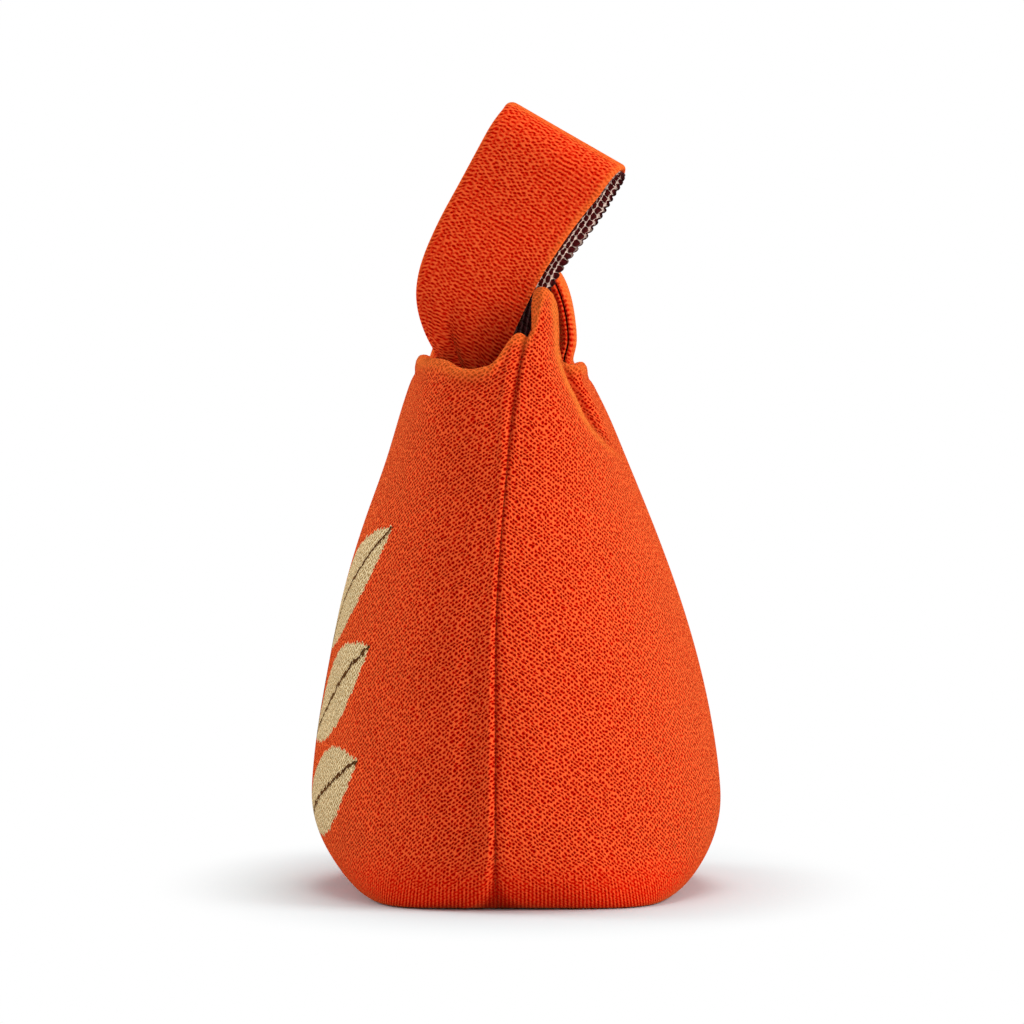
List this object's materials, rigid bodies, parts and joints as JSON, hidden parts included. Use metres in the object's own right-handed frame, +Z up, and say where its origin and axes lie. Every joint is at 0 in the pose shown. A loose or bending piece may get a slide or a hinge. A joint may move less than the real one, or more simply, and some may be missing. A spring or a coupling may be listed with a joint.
{
  "type": "knitted knot lunch bag",
  "caption": "Soft knitted lunch bag with a boxed base and open mouth, closed by drawing its long wrist handle through a short loop; the handle sways and draws.",
  "frame": {"origin": "centre of the base, on the surface that the bag stands on", "axes": "+Z up, +X to the near end with the short loop, +Y to the back panel; the front panel faces -Y"},
  "size_m": [0.204, 0.153, 0.2991],
  "materials": {
    "orange_knit": "matte jacquard knit with a little fuzz",
    "orange_yarn": "matte linking yarn",
    "maroon_knit": "matte coarse knit, maroon with cream flecks"
  },
  "bodies": {
    "bag": {"front_panel": "orange_knit", "back_panel": "orange_knit", "near_side_seam": "orange_yarn", "far_side_seam": "orange_yarn", "base_seam": "orange_yarn", "near_corner_seam": "orange_yarn", "far_corner_seam": "orange_yarn", "short_loop": "orange_knit", "short_loop_back_tack": "orange_yarn", "short_loop_front_tack": "orange_yarn", "handle_front_leg": "orange_knit", "handle_back_leg": "orange_knit", "handle_front_tack": "orange_yarn", "handle_back_tack": "orange_yarn"},
    "neck": {"handle_neck": "orange_knit"},
    "handle": {"long_handle": "orange_knit", "long_handle_lining": "maroon_knit"}
  },
  "joints": [
    {"name": "handle_draw", "type": "slide", "parent": "bag", "child": "neck", "axis": [0, 0, 1], "range_m": [0, 0.02]},
    {"name": "handle_sway", "type": "hinge", "parent": "neck", "child": "handle", "pos_m": [0.031, -0.013, 0.226], "axis": [1, 0, 0], "range_deg": [0, 50]}
  ]
}
